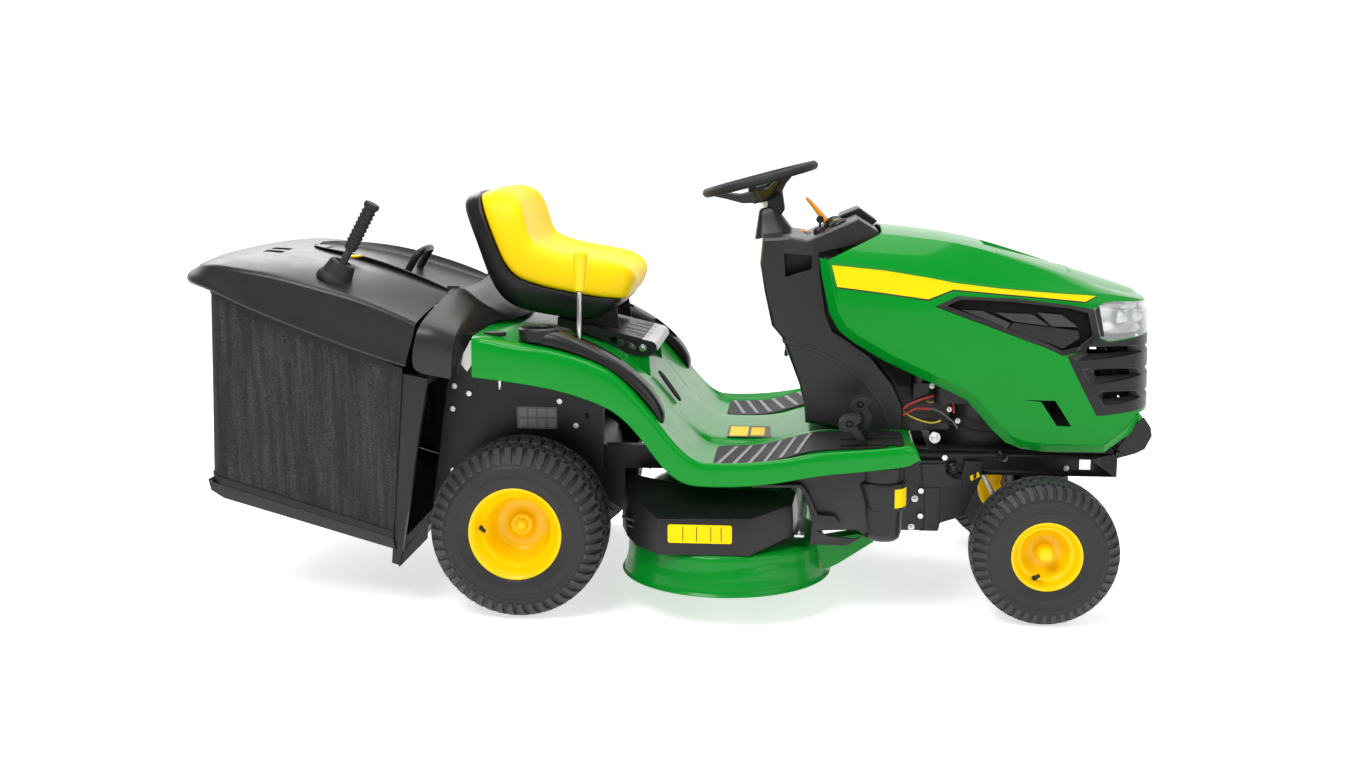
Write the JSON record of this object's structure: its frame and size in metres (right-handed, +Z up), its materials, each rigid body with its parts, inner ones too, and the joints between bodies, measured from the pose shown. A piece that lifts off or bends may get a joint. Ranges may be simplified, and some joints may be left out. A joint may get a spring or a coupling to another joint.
{
  "type": "riding lawn mower",
  "caption": "Lawn tractor with front engine under an opening hood, belly mower deck, seat over the rear axle and a tipping rear grass collector.",
  "frame": {"origin": "on the ground, below the middle of the machine's overall box", "axes": "+X forward, +Y to the machine's left, +Z up"},
  "size_m": [2.512, 1.05, 1.1284],
  "materials": {
    "green_bodywork": "glossy moulded-in colour",
    "green_paint": "gloss enamel",
    "yellow_paint": "gloss enamel",
    "yellow_vinyl": "smooth moulded vinyl",
    "yellow_plastic": "satin moulded",
    "orange_plastic": "satin moulded",
    "black_plastic": "fine grain moulded",
    "grey_plastic": "fine grain moulded",
    "black_steel": "satin powder coat",
    "zinc_steel": "zinc plated",
    "bright_steel": "ground",
    "alloy": "as cast",
    "black_rubber": "matte",
    "tyre_rubber": "matte",
    "clear_lens": "clear moulded",
    "bag_cloth": "open polyester weave"
  },
  "bodies": {
    "chassis": {"air_filter_cover": "black_plastic", "battery": "black_plastic", "blower_housing": "black_plastic", "collector_chute": "black_plastic", "collector_shroud": "grey_plastic", "console_tower": "grey_plastic", "dash_panel": "black_plastic", "engine_block": "alloy", "fender_consoles": "black_plastic", "fender_deck": "green_bodywork", "footrest_mats": "black_rubber", "frame_bolts": "zinc_steel", "frame_rails": "black_steel", "front_bumper": "black_plastic", "fuel_tank": "black_plastic", "muffler": "black_steel", "rear_frame": "black_steel", "seat_bracket": "black_steel", "side_panels": "black_plastic", "transaxle_case": "alloy", "wiring_harness": "black_rubber"},
    "front_axle": {"front_axle_beam": "black_steel"},
    "left_knuckle": {"knuckle_left": "black_steel"},
    "right_knuckle": {"knuckle_right": "black_steel"},
    "tie_rod": {"tie_rod": "zinc_steel"},
    "front_left_wheel": {"front_tyre_left": "tyre_rubber", "front_rim_left": "yellow_paint"},
    "front_right_wheel": {"front_tyre_right": "tyre_rubber", "front_rim_right": "yellow_paint"},
    "rear_left_wheel": {"rear_tyre_left": "tyre_rubber", "rear_rim_left": "yellow_paint"},
    "rear_right_wheel": {"rear_tyre_right": "tyre_rubber", "rear_rim_right": "yellow_paint"},
    "steering": {"steering_wheel": "black_plastic", "steering_shaft": "zinc_steel"},
    "hood": {"hood_shell": "green_bodywork", "front_grille": "black_plastic", "headlight_lenses": "clear_lens", "hood_side_inserts": "black_plastic"},
    "seat": {"seat_cushion": "yellow_vinyl", "seat_pan": "black_plastic"},
    "forward_pedal": {"forward_pedal": "black_rubber"},
    "reverse_pedal": {"reverse_pedal": "black_rubber"},
    "brake_pedal": {"brake_pedal": "black_rubber"},
    "height_lever": {"height_lever_rod": "zinc_steel", "height_lever_knob": "yellow_plastic"},
    "throttle": {"throttle_lever": "orange_plastic"},
    "key": {"ignition_key": "bright_steel"},
    "blade_switch": {"blade_switch": "yellow_plastic"},
    "crankshaft": {"engine_pulley": "bright_steel"},
    "mower_deck": {"deck_shell": "green_paint", "deck_covers": "black_plastic", "spindle_belt": "black_rubber"},
    "left_blade": {"blade_left": "bright_steel"},
    "right_blade": {"blade_right": "bright_steel"},
    "collector": {"collector_lid": "grey_plastic", "collector_bag": "bag_cloth", "collector_tray": "grey_plastic", "collector_frame": "black_steel"},
    "dump_lever": {"dump_lever": "black_rubber"}
  },
  "joints": [
    {"name": "front_axle_rock", "type": "hinge", "parent": "chassis", "child": "front_axle", "pos_m": [0.959, 0, 0.275], "axis": [1, 0, 0], "range_deg": [-5, 5]},
    {"name": "steering_turn", "type": "hinge", "parent": "chassis", "child": "steering", "pos_m": [0.239, 0, 1.079], "axis": [-0.2548, 0, 0.967], "range_deg": [-104, 104]},
    {"name": "left_knuckle_turn", "type": "hinge", "parent": "front_axle", "child": "left_knuckle", "pos_m": [0.959, 0.265, 0.23], "axis": [0, 0, 1], "range_deg": [-26, 26]},
    {"name": "right_knuckle_turn", "type": "hinge", "parent": "front_axle", "child": "right_knuckle", "pos_m": [0.959, -0.265, 0.23], "axis": [0, 0, 1], "range_deg": [-26, 26]},
    {"name": "tie_rod_slide", "type": "slide", "parent": "front_axle", "child": "tie_rod", "axis": [0, 1, 0], "range_m": [-0.041, 0.041]},
    {"name": "front_left_roll", "type": "hinge", "parent": "left_knuckle", "child": "front_left_wheel", "pos_m": [0.959, 0.359, 0.1825], "axis": [0, 1, 0], "continuous": true},
    {"name": "front_right_roll", "type": "hinge", "parent": "right_knuckle", "child": "front_right_wheel", "pos_m": [0.959, -0.359, 0.1825], "axis": [0, 1, 0], "continuous": true},
    {"name": "rear_left_roll", "type": "hinge", "parent": "chassis", "child": "rear_left_wheel", "pos_m": [-0.344, 0.381, 0.2235], "axis": [0, 1, 0], "continuous": true},
    {"name": "rear_right_roll", "type": "hinge", "parent": "chassis", "child": "rear_right_wheel", "pos_m": [-0.344, -0.381, 0.2235], "axis": [0, 1, 0], "continuous": true},
    {"name": "hood_open", "type": "hinge", "parent": "chassis", "child": "hood", "pos_m": [1.156, 0, 0.4], "axis": [0, 1, 0], "range_deg": [0, 58]},
    {"name": "seat_tilt", "type": "hinge", "parent": "chassis", "child": "seat", "pos_m": [-0.059, 0, 0.645], "axis": [0, 1, 0], "range_deg": [0, 45]},
    {"name": "forward_pedal_press", "type": "hinge", "parent": "chassis", "child": "forward_pedal", "pos_m": [0.536, -0.405, 0.402], "axis": [0, 1, 0], "range_deg": [0, 14], "stiffness_Nm_per_rad": 4, "springref_deg": -14.32},
    {"name": "reverse_pedal_press", "type": "hinge", "parent": "chassis", "child": "reverse_pedal", "pos_m": [0.536, -0.325, 0.402], "axis": [0, 1, 0], "range_deg": [0, 14], "stiffness_Nm_per_rad": 4, "springref_deg": -14.32},
    {"name": "brake_pedal_press", "type": "hinge", "parent": "chassis", "child": "brake_pedal", "pos_m": [0.536, 0.37, 0.402], "axis": [0, 1, 0], "range_deg": [0, 14], "stiffness_Nm_per_rad": 4, "springref_deg": -14.32},
    {"name": "deck_lift", "type": "slide", "parent": "chassis", "child": "mower_deck", "axis": [0, 0, 1], "range_m": [-0.055, 0]},
    {"name": "height_lever_turn", "type": "hinge", "parent": "chassis", "child": "height_lever", "pos_m": [-0.194, -0.4, 0.48], "axis": [0, 1, 0], "range_deg": [0, 28]},
    {"name": "throttle_turn", "type": "hinge", "parent": "chassis", "child": "throttle", "pos_m": [0.431, -0.04, 0.93], "axis": [0, 1, 0], "range_deg": [0, 40]},
    {"name": "key_turn", "type": "hinge", "parent": "chassis", "child": "key", "pos_m": [0.398, -0.11, 0.95], "axis": [0, 0, 1], "range_deg": [0, 60]},
    {"name": "blade_switch_pull", "type": "slide", "parent": "chassis", "child": "blade_switch", "axis": [0, 0, 1], "range_m": [0, 0.012]},
    {"name": "crankshaft_spin", "type": "hinge", "parent": "chassis", "child": "crankshaft", "pos_m": [0.821, 0, 0.3], "axis": [0, 0, 1], "continuous": true},
    {"name": "left_blade_spin", "type": "hinge", "parent": "mower_deck", "child": "left_blade", "pos_m": [0.168, 0.258, 0.11], "axis": [0, 0, 1], "continuous": true},
    {"name": "right_blade_spin", "type": "hinge", "parent": "mower_deck", "child": "right_blade", "pos_m": [0.168, -0.258, 0.11], "axis": [0, 0, 1], "continuous": true},
    {"name": "collector_tip", "type": "hinge", "parent": "chassis", "child": "collector", "pos_m": [-0.539, 0, 0.8], "axis": [0, 1, 0], "range_deg": [0, 52]},
    {"name": "dump_lever_pull", "type": "slide", "parent": "collector", "child": "dump_lever", "axis": [0.483, 0, 0.8756], "range_m": [0, 0.15]}
  ],
  "couplings": [
    {"joint": "left_knuckle_turn", "follows": "steering_turn", "ratio": 0.25},
    {"joint": "right_knuckle_turn", "follows": "steering_turn", "ratio": 0.25},
    {"joint": "tie_rod_slide", "follows": "steering_turn", "m_per_rad": -0.0225},
    {"joint": "height_lever_turn", "follows": "deck_lift", "rad_per_m": -8.88},
    {"joint": "right_blade_spin", "follows": "left_blade_spin", "ratio": 1}
  ]
}
